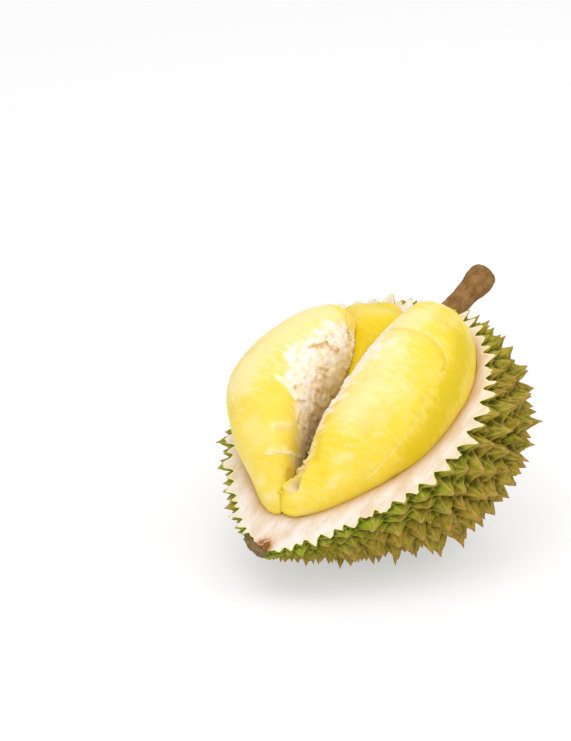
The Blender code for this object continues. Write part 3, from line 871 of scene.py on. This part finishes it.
def dressLobe(lobe, points, rows, turns, seed):
    # how far each point is pushed out, its share of the notch, and its share of each colour of the flesh
    flat = points.reshape(-1, 3)
    y = np.repeat(rows[:, 0], len(turns))
    degrees = np.tile(np.degrees(turns), len(rows))
    steps = np.linalg.norm(points - np.roll(points, 1, 1), axis=2)
    steps[:, 0] = 0
    wander = 0.005 * noiseAt(flat, 0.030, seed=seed)
    # places on the unrolled skin: across the lobe, and along it
    unrolled = np.stack([np.cumsum(steps, 1).ravel(), y + wander, 0 * y], 1)

    def drawnOut(kind, later, octaves=3):
        width, length = flesh[kind]
        return noiseAt(unrolled, width, seed=seed + later, stretch=(length, 1, 1), octaves=octaves)

    streaks, fine, ragged = drawnOut("streaks", 0), drawnOut("fine", 2), drawnOut("ragged", 3)
    patches = noiseAt(flat, 0.021, seed=seed + 1, stretch=(1, 1.6, 1), octaves=3)
    marks = {kind: np.zeros(len(y)) for kind in ("pale", "deep", "film", "creviceShade", "inner", "dark")}
    marks["pale"] += lobe["tone"][0] + 0.16 * smoothStep(streaks, -0.1, 0.6)
    marks["pale"] += 0.32 * smoothStep(patches, 0.0, 0.7)
    marks["deep"] += lobe["tone"][1] + 0.08 * smoothStep(-streaks, 0.0, 0.6)
    marks["deep"] += 0.25 * smoothStep(-patches, 0.1, 0.7)
    lineY, lineDegrees = np.array(lobe["film"]).T
    lineY = lineY * millimetre
    beyond = (degrees - np.interp(y, lineY, lineDegrees)) * lobe["filmWay"]
    started = smoothStep(y, lineY[0], lineY[0] + 0.004)
    ended = 1 - smoothStep(y, lineY[-1] - 0.004, lineY[-1])
    torn = smoothStep(beyond + 18 * ragged + 7 * streaks + 5 * fine, -10, 12) * started * ended
    rough = torn * smoothStep(beyond + 8 * ragged, 8, 28)
    low = 1 - smoothStep(y, lineY[0] + 0.010, lineY[0] + 0.045)
    marks["film"] += torn * (0.94 - 0.3 * smoothStep(-streaks, 0.1, 0.5) * (1 - rough) - 0.25 * low)
    folds, flakes = (1 - 3 * np.abs(wave) for wave in (drawnOut("folds", 4), drawnOut("flakes", 6, 2)))
    cracked = 0.85 * smoothStep(folds, 0.62, 1.0) + 0.45 * smoothStep(flakes, 0.66, 1.0)
    cracked *= smoothStep(patches + 0.5 * ragged, -0.30, 0.25)
    # the cracks are sunk and also painted darker tan: painted shade in them
    marks["creviceShade"] += rough * cracked
    # inner: the film turns a warmer tan towards the gap between the lobes and at its low end, painted shade
    # warmed as if by light bounced off the yellow flesh
    inward = 0.75 * smoothStep(beyond, 40, 90) + 0.18 * smoothStep(ragged, 0.0, 0.5)
    marks["inner"] += rough * inward + 0.6 * torn * low
    height = 0.0006 * noiseAt(flat, 0.026, seed=seed + 5, octaves=2) - 0.0003 + flesh["wrinkle"] * streaks
    height += flesh["filmDepth"] * torn * (1 + fine)
    height += flesh["filmRough"] * rough * (0.6 * fine + 0.9 * ragged - 1.2 * cracked)
    for kind, strength, width, lift, places in lobe["strokes"]:
        width, lift = width * millimetre, lift * millimetre
        gap = gapTo(flat, onLobe(lobe, places)) * (1 + 0.5 * fine) + 0.25 * width * ragged
        share = 1 - smoothStep(gap, 0.1 * width, width)
        marks[kind] += strength * share
        height += lift * share * (1 + 0.35 * ragged)
    notch = notchShare(lobe, flat)
    # inside the notch: all film colour, partly the painted warm shade of inner, and no cracks
    for kind, share in (("film", 1.0), ("inner", 0.6), ("creviceShade", 0.0)):
        marks[kind] = marks[kind] * (1 - notch) + share * notch
    # painted dark shade in the deepest part of the notch
    marks["dark"] += 0.8 * notch * smoothStep(y + 0.0002 * (degrees - 120), -0.0745, -0.0670)
    return height, notch, {kind: np.clip(values, 0, 1) for kind, values in marks.items()}


def notchShare(lobe, points):
    # 1 inside the lobe's notch, 0 outside
    share = np.zeros(len(points))
    if lobe["notch"]:
        given = np.array(lobe["notch"])
        at = np.linspace(0, len(given) - 1, 30)
        y, degrees, half = (np.interp(at, np.arange(len(given)), given[:, k]) for k in range(3))
        for middle, reach in zip(onLobe(lobe, list(zip(y, degrees))), half * millimetre):
            beyond = np.linalg.norm(points - middle, axis=1) - reach
            share = np.maximum(share, 1 - smoothStep(beyond, -0.0008, 0.0006))
    return share


def buildLobe(name):
    lobe = lobes[name]
    rows = roundedRows(lobe)
    turns = math.radians(flesh["seam"]) + np.arange(lobe["sides"]) / lobe["sides"] * 2 * math.pi
    points = lobePoints(rows, np.tile(turns, (len(rows), 1)), lobe["square"])
    for _ in range(flesh["endPasses"]):  # takes the edge off the caps
        for ends in (slice(2, 3 * flesh["caps"]), slice(-3 * flesh["caps"], -2)):
            before, after = points[ends.start - 1: ends.stop - 1], points[ends.start + 1: ends.stop + 1]
            points[ends] = (before + 2 * points[ends] + after) / 4
    height, notch, marks = dressLobe(lobe, points, rows, turns, seed=10 * len(name))
    points = points + gridNormals(points) * height.reshape(points.shape[:2])[..., None]
    middles = rows[:, None, [1, 0, 2]]
    kept = 1 - flesh["notchDepth"] * notch.reshape(points.shape[:2])[..., None]
    points = middles + (points - middles) * kept
    for other in list(lobes)[: list(lobes).index(name)]:
        points = pressAgainst(points, rows, lobes[other], cavity["room"])
    skin = Skin(*marks)
    count = len(turns)
    loops = []
    for i, ring in enumerate(points[1:-1], 1):
        loops.append([
            skin.add(p, **{kind: values[i * count + j] for kind, values in marks.items()})
            for j, p in enumerate(ring)
        ])
    ends = [skin.add(points[i].mean(0)) for i in (0, -1)]
    return skin.closedTube("durianFlesh" + name, loops[::-1], ends[::-1])


# ---- stem ----

stem = {
    "drop": 0.014,
    "side": 0.001,
    "radius": 0.0080,
    "knobRadius": 0.0103,
    "length": 0.0460,
    "socket": 0.008,
    "lean": math.radians(8),
    "sides": 72,
    "rings": 110,
    "fissure": 0.0005,
}


def buildStem():
    foot, direction = stemFoot()
    turn = np.array(direction.to_track_quat("Z", "Y").to_matrix())
    end, thick, knob = stem["length"], stem["radius"], stem["knobRadius"]
    profile = np.array([
        (-stem["socket"], 1.25 * thick),
        (0.000, 1.22 * thick),
        (0.005, 1.07 * thick),
        (0.55 * (end - 2 * knob), thick),
        (end - 2 * knob, 1.03 * thick),
        (end - knob, 0.97 * knob),
        (end - 0.005, knob),
        (end - 0.001, 0.88 * knob),
        (end, 0.60 * knob),
        (end - 0.0004, 0.30 * knob),
        (end - 0.0008, 0.03 * knob),
    ])
    travel = np.r_[0, np.cumsum(np.hypot(*np.diff(profile, axis=0).T))]
    at = np.linspace(0, travel[-1], stem["rings"])
    along = np.interp(at, travel, profile[:, 0])
    radius = np.interp(at, travel, profile[:, 1])
    for _ in range(3):
        for line in (radius, along):
            line[1:-1] = (line[:-2] + 2 * line[1:-1] + line[2:]) / 4
    turns = np.arange(stem["sides"]) / stem["sides"] * 2 * math.pi
    skin = Skin("cutEnd")
    loops = []
    for a, r, where in zip(along, radius, at):
        spots = np.stack([r * np.cos(turns), r * np.sin(turns), np.full_like(turns, a)], 1)
        grain = noiseAt(spots, 0.0022, seed=4, stretch=(1, 1, 5), octaves=3)
        lumps = noiseAt(spots, 0.008, seed=6)
        grow = stem["fissure"] * (grain + 1.2 * lumps)
        spots[:, :2] *= (1 + grow / max(r, 0.002))[:, None]
        atEnd = float(smoothStep(where, travel[7], travel[8]))
        spots[:, 2] += atEnd * 0.0006 * noiseAt(spots, 0.0025, seed=9, octaves=2)
        places = spots @ turn.T + np.array(foot)
        loops.append([skin.add(p, cutEnd=atEnd) for p in places])
    middles = [np.mean([skin.places[i] for i in loop], 0) for loop in (loops[0], loops[-1])]
    ends = [skin.add(middle, cutEnd=atEnd) for middle, atEnd in zip(middles, (0.0, 1.0))]
    return skin.closedTube("durianStem", loops, ends)


# ---- materials ----


def feed(tree, target, source):
    # a socket, or a plain value, into an input
    if isinstance(source, bpy.types.NodeSocket):
        tree.links.new(source, target)
    else:
        target.default_value = source


def addNode(tree, kind, inputs, **settings):
    node = tree.nodes.new(kind)
    for name, value in settings.items():
        setattr(node, name, value)
    for name, value in inputs.items():
        feed(tree, node.inputs[name], value)
    return node


def makeBlotches(toRow):
    # soft patches: Mask is 0 to 1, Low and High say how much of the surface they take
    group = bpy.data.node_groups.new("blotches", "ShaderNodeTree")
    for name, kind, value in (
        ("Scale", "Float", 60.0), ("Stretch", "Vector", (1, 1, 1)), ("Low", "Float", 0.4),
        ("High", "Float", 0.6), ("Seed", "Float", 0.0),
    ):
        socket = group.interface.new_socket(name, in_out="INPUT", socket_type="NodeSocket" + kind)
        socket.default_value = value
    group.interface.new_socket("Mask", in_out="OUTPUT", socket_type="NodeSocketFloat")
    given = addNode(group, "NodeGroupInput", {}).outputs
    inRow = addNode(group, "ShaderNodeTexCoord", {}).outputs["Object"]
    turned = {"Vector": inRow, "Location": toRow.translation, "Rotation": toRow.to_euler()}
    inFruit = addNode(group, "ShaderNodeMapping", turned, vector_type="TEXTURE").outputs["Vector"]
    product = {0: inFruit, 1: given["Stretch"]}
    squeezed = addNode(group, "ShaderNodeVectorMath", product, operation="MULTIPLY").outputs[0]
    cloudy = {"Vector": squeezed, "Scale": given["Scale"], "W": given["Seed"], "Detail": 4, "Roughness": 0.6}
    cloud = addNode(group, "ShaderNodeTexNoise", cloudy, noise_dimensions="4D").outputs["Fac"]
    limits = {"Value": cloud, "From Min": given["Low"], "From Max": given["High"]}
    spread = addNode(group, "ShaderNodeMapRange", limits, interpolation_type="SMOOTHSTEP")
    addNode(group, "NodeGroupOutput", {"Mask": spread.outputs["Result"]})
    return group


class Look:
    # a material in the making: colours are laid over each other, each by a share from 0 to 1

    def __init__(self, name, colours, roughness, specular):
        self.material = bpy.data.materials.new(name)
        self.material.use_nodes = True
        self.tree = self.material.node_tree
        self.colours = colours
        self.inputs = self.tree.nodes["Principled BSDF"].inputs
        self.inputs["Roughness"].default_value = roughness
        self.inputs["Specular IOR Level"].default_value = specular

    def mark(self, name):
        return addNode(self.tree, "ShaderNodeAttribute", {}, attribute_name=name).outputs["Fac"]

    def blotches(self, scale, low, high, stretch=(1, 1, 1), seed=0.0):
        inputs = {"Scale": scale, "Low": low, "High": high, "Stretch": stretch, "Seed": seed}
        return addNode(self.tree, "ShaderNodeGroup", inputs, node_tree=groups["blotches"]).outputs["Mask"]

    def between(self, value, low, high, toLow=0.0, toHigh=1.0):
        inputs = {"Value": value, "From Min": low, "From Max": high, "To Min": toLow, "To Max": toHigh}
        kind = "ShaderNodeMapRange"
        return addNode(self.tree, kind, inputs, interpolation_type="SMOOTHSTEP").outputs["Result"]

    def times(self, a, b, operation="MULTIPLY"):
        node = addNode(self.tree, "ShaderNodeMath", {0: a, 1: b}, operation=operation, use_clamp=True)
        return node.outputs[0]

    def mixed(self, share, *pair):
        # of two colours, each a name or a socket
        a, b = ((*self.colours[c], 1) if isinstance(c, str) else c for c in pair)
        node = addNode(self.tree, "ShaderNodeMix", {}, data_type="RGBA")
        for place, value in (("Factor", share), (6, a), (7, b)):
            feed(self.tree, node.inputs[place], value)
        return node.outputs[2]

    def lay(self, colour, share, strength=1.0):
        if strength < 1:
            share = self.times(share, strength)
        self.colour = self.mixed(share, self.colour, colour)

    def scatter(self, weight, radius, scale):
        for name, value in (("Weight", weight), ("Radius", radius), ("Scale", scale)):
            self.inputs["Subsurface " + name].default_value = value

    def done(self, height, strength, distance):
        feed(self.tree, self.inputs["Base Color"], self.colour)
        relief = {"Height": height, "Strength": strength, "Distance": distance}
        feed(self.tree, self.inputs["Normal"], addNode(self.tree, "ShaderNodeBump", relief).outputs["Normal"])
        return self.material


skinLook = {
    # lit and deep are a lit and a shaded copy of the same green, so their blotches are painted light and shade
    "lit": (0.400, 0.360, 0.006),
    "deep": (0.090, 0.115, 0.002),
    "fresh": (0.190, 0.330, 0.002),
    "olive": (0.400, 0.235, 0.020),
    "rust": (0.380, 0.175, 0.022),
    # a greyish painted sheen for the thorns' flanks
    "paintedSheen": (0.480, 0.400, 0.070),
    "ridge": (0.640, 0.430, 0.120),
    # valley: near-black green, painted shade in the grooves between thorns
    "valley": (0.030, 0.036, 0.002),
    "pink": (0.520, 0.280, 0.090),
    "tip": (0.260, 0.120, 0.035),
    "scar": (0.300, 0.200, 0.090),
    "scarDark": (0.130, 0.085, 0.035),
    "fleck": (0.380, 0.200, 0.040),
}


def skinMaterial():
    look = Look("durian_skin", skinLook, 0.60, 0.06)
    blotches, between, times, lay = look.blotches, look.between, look.times, look.lay
    rise, ridge, hue, scar, fresh = map(look.mark, ("rise", "ridge", "hue", "scar", "fresh"))
    # the base is random blotches of the lit and the shaded green: painted light and shade
    look.colour = look.mixed(blotches(110, 0.38, 0.64), "deep", "lit")
    lay("olive", times(blotches(30, 0.36, 0.60, seed=2), between(hue, 0.2, 0.8)), 0.85)
    lay("fresh", times(fresh, blotches(90, 0.25, 0.55, seed=13)), 0.95)
    # painted sheen: greyish blotches on the rising flanks of the thorns
    lay("paintedSheen", times(blotches(150, 0.45, 0.64, seed=4), between(rise, 0.05, 0.5)), 0.55)
    edge = times(ridge, between(rise, 0.0, 0.35, 0.45, 1.0))
    lay("ridge", times(edge, blotches(330, 0.20, 0.55, seed=5)), 0.85)
    # painted shade: the thorns' feet, away from the ridges, are darkened into the grooves
    lay("valley", times(between(rise, 0.34, 0.0), between(ridge, 1.0, 0.2)), 0.85)
    lay("rust", times(blotches(70, 0.50, 0.66, seed=15), blotches(420, 0.3, 0.6, seed=16)), 0.45)
    lay("fleck", blotches(480, 0.56, 0.64, seed=7), 0.7)
    lay("pink", between(rise, 0.60, 0.95, 0.0, 0.9))
    lay("tip", between(rise, 0.84, 0.99))
    lay(look.mixed(blotches(400, 0.3, 0.7, seed=9), "scarDark", "scar"), scar)
    grain = times(blotches(900, 0.2, 0.8, seed=11), blotches(260, 0.2, 0.8, seed=12), "ADD")
    return look.done(grain, 0.7, 0.0009)


pithLook = {
    "cream": (0.77, 0.63, 0.49),
    "pale": (0.86, 0.80, 0.76),
    # tan: the pith's own threads, and painted shade near the flesh and in the hollow
    "tan": (0.60, 0.38, 0.16),
    "skinside": (0.82, 0.78, 0.40),
    "outline": (0.30, 0.36, 0.06),
    "stain": (0.26, 0.085, 0.010),
    "stainEdge": (0.62, 0.33, 0.11),
}


def pithMaterial():
    look = Look("durian_pith", pithLook, 0.62, 0.15)
    blotches, between, times, lay = look.blotches, look.between, look.times, look.lay
    nearSkin, nearFlesh, stain = map(look.mark, ("nearSkin", "nearFlesh", "stain"))
    look.colour = look.mixed(blotches(80, 0.35, 0.62, (1, 0.5, 1)), "cream", "pale")
    threads = times(blotches(260, 0.42, 0.70, (1, 0.13, 1), seed=3), blotches(45, 0.35, 0.60, seed=4))
    lay("tan", threads, 0.34)
    # tan towards the flesh: partly the pith's own colour, partly painted shade from the flesh beside it; in
    # the hollow it is painted shade
    lay("tan", between(nearFlesh, 0.15, 0.95, 0, 0.9))
    lay("stainEdge", times(between(stain, 0.02, 0.5), blotches(300, 0.3, 0.6, seed=6)), 0.8)
    lay("stain", times(between(stain, 0.34, 0.72), blotches(210, 0.30, 0.52, seed=9)))
    rim = times(nearSkin, between(stain, 0.5, 0.1))
    lay("skinside", between(rim, 0.35, 0.85, 0, 0.7))
    lay("outline", between(rim, 0.86, 0.99))
    look.scatter(0.15, (1.0, 0.6, 0.3), 0.002)
    return look.done(times(threads, blotches(800, 0.2, 0.8), "ADD"), 0.25, 0.0004)


fleshLook = {
    "yellow": (0.89, 0.665, 0.022),
    "deep": (0.76, 0.560, 0.006),
    "pale": (0.91, 0.765, 0.34),
    "film": (0.97, 0.90, 0.86),
    "filmWarm": (0.93, 0.76, 0.50),
    # crevice: a darker tan, painted shade in the film's cracks and grooves
    "creviceShade": (0.66, 0.41, 0.10),
    # inner: painted warm shade for the film towards the gap and in the notch
    "inner": (0.95, 0.75, 0.33),
    # dark: painted shade in the gap between the lobes and deep in the notch
    "dark": (0.26, 0.15, 0.02),
}


def fleshMaterial():
    look = Look("durian_flesh", fleshLook, 0.45, 0.22)
    marks = {name: look.mark(name) for name in ("pale", "deep", "film", "creviceShade", "inner", "dark")}
    film = look.mixed(look.blotches(190, 0.40, 0.68, seed=8), "film", "filmWarm")
    look.colour = look.mixed(marks["pale"], "yellow", "pale")
    look.lay("deep", marks["deep"])
    look.lay(look.mixed(marks["inner"], film, "inner"), marks["film"])
    look.lay("creviceShade", marks["creviceShade"])
    look.lay("dark", marks["dark"])
    look.scatter(0.40, (1.0, 0.65, 0.15), 0.0035)
    return look.done(look.blotches(300, 0.35, 0.75, seed=6), 0.12, 0.0006)


barkLook = {
    "brown": (0.215, 0.105, 0.030),
    "pale": (0.330, 0.185, 0.070),
    "dark": (0.075, 0.034, 0.011),
    "scar": (0.310, 0.170, 0.070),
}


def barkMaterial():
    look = Look("durian_bark", barkLook, 0.75, 0.1)
    look.colour = look.mixed(look.blotches(140, 0.35, 0.65), "brown", "pale")
    look.lay("dark", look.blotches(420, 0.55, 0.70, (1, 0.22, 1), seed=2), 0.8)
    look.lay("scar", look.mark("cutEnd"), 0.7)
    return look.done(look.blotches(500, 0.2, 0.8, (1, 0.3, 1), seed=3), 0.5, 0.0005)


# ---- putting it together ----


def addObject(name, data):
    made = bpy.data.objects.new(name, data)
    bpy.context.scene.collection.objects.link(made)
    return made


def place(name, mesh, toRow, materials, nodes, slot):
    mesh.transform(toRow)
    made = addObject(name, mesh)
    for material in materials:
        mesh.materials.append(material)
    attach(made, "root")
    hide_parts(*nodes)
    print("made", name, len(mesh.polygons), "faces")


studio = {
    "floorSize": 14.0,
    "floorColour": 0.50,
    "floorGlow": 0.50,  # it is lit from below too, so shadows on it are pale
    "worldStrength": 0.74,
    # name: (azimuth, elevation, distance, size, power)
    "lamps": {
        "key": (5, 62, 1.5, 1.2, 6.4),
        "fill": (98, 52, 1.6, 1.2, 3.6),
        "back": (200, 50, 1.6, 1.2, 2.5),
        "front": (42, 30, 1.8, 0.8, 4.5),
    },
}

view = {
    "azimuth": 37.3,
    "elevation": 22,
    "distance": 3.0,
    "lens": 214.3,
    "aimRight": -0.0476,  # from the fruit's own origin, across and up in the picture plane
    "aimUp": 0.03366,
    "clipEnd": 60,
}


def towards(azimuth, elevation):
    a, e = math.radians(azimuth), math.radians(elevation)
    return Vector((math.sin(a) * math.cos(e), -math.cos(a) * math.cos(e), math.sin(e)))


def buildStudio(target):
    bm = bmesh.new()
    bmesh.ops.create_grid(bm, x_segments=1, y_segments=1, size=studio["floorSize"] / 2)
    mesh = bpy.data.meshes.new("floor")
    bm.to_mesh(mesh)
    bm.free()
    floor = addObject("floor", mesh)
    look = Look("pale_floor", {}, 0.9, 0.1)
    look.inputs["Base Color"].default_value = (*[studio["floorColour"]] * 3, 1)
    look.inputs["Emission Color"].default_value = (1, 1, 1, 1)
    look.inputs["Emission Strength"].default_value = studio["floorGlow"]
    mesh.materials.append(look.material)
    for name, (azimuth, elevation, distance, size, power) in studio["lamps"].items():
        lamp = bpy.data.lights.new(name, "AREA")
        lamp.shape, lamp.size, lamp.energy = "DISK", size, power
        made = addObject(name, lamp)
        back = towards(azimuth, elevation)
        made.location = target + back * distance
        made.rotation_euler = back.to_track_quat("Z", "Y").to_euler()
    world = bpy.data.worlds.new("studio")
    world.use_nodes = True
    world.node_tree.nodes["Background"].inputs["Color"].default_value = (1, 1, 1, 1)
    world.node_tree.nodes["Background"].inputs["Strength"].default_value = studio["worldStrength"]
    bpy.context.scene.world = world
    bpy.context.scene.view_settings.view_transform = "Standard"


def buildCamera(origin):
    back = towards(view["azimuth"], view["elevation"])
    right = Vector((0, 0, 1)).cross(back).normalized()
    up = back.cross(right)
    camera = bpy.data.cameras.new("camera")
    camera.lens = view["lens"]
    camera.clip_end = view["clipEnd"]
    made = addObject("camera", camera)
    target = origin + right * view["aimRight"] + up * view["aimUp"]
    made.location = target + back * view["distance"]
    made.rotation_euler = Matrix((right, up, back)).transposed().to_euler()
    bpy.context.scene.camera = made


toRow = fruitFrame()
groups = {"blotches": makeBlotches(toRow)}
print("fruit frame at", [round(v, 5) for v in toRow.translation])
pithStuff, fleshStuff = pithMaterial(), fleshMaterial()
place("durianRind", buildRind(toRow), toRow, [skinMaterial(), pithStuff], ["rind"], "husk")
for side in lobes:
    place("durianFlesh_" + side, buildLobe(side), toRow, [fleshStuff], ["flesh_lobe_" + side], "flesh")
place("durianStem", buildStem(), toRow, [barkMaterial()], ["stem"], "bark")
buildStudio(toRow.translation.copy())
buildCamera(toRow.translation.copy())
print("studio made")

bpy.context.view_layer.update()
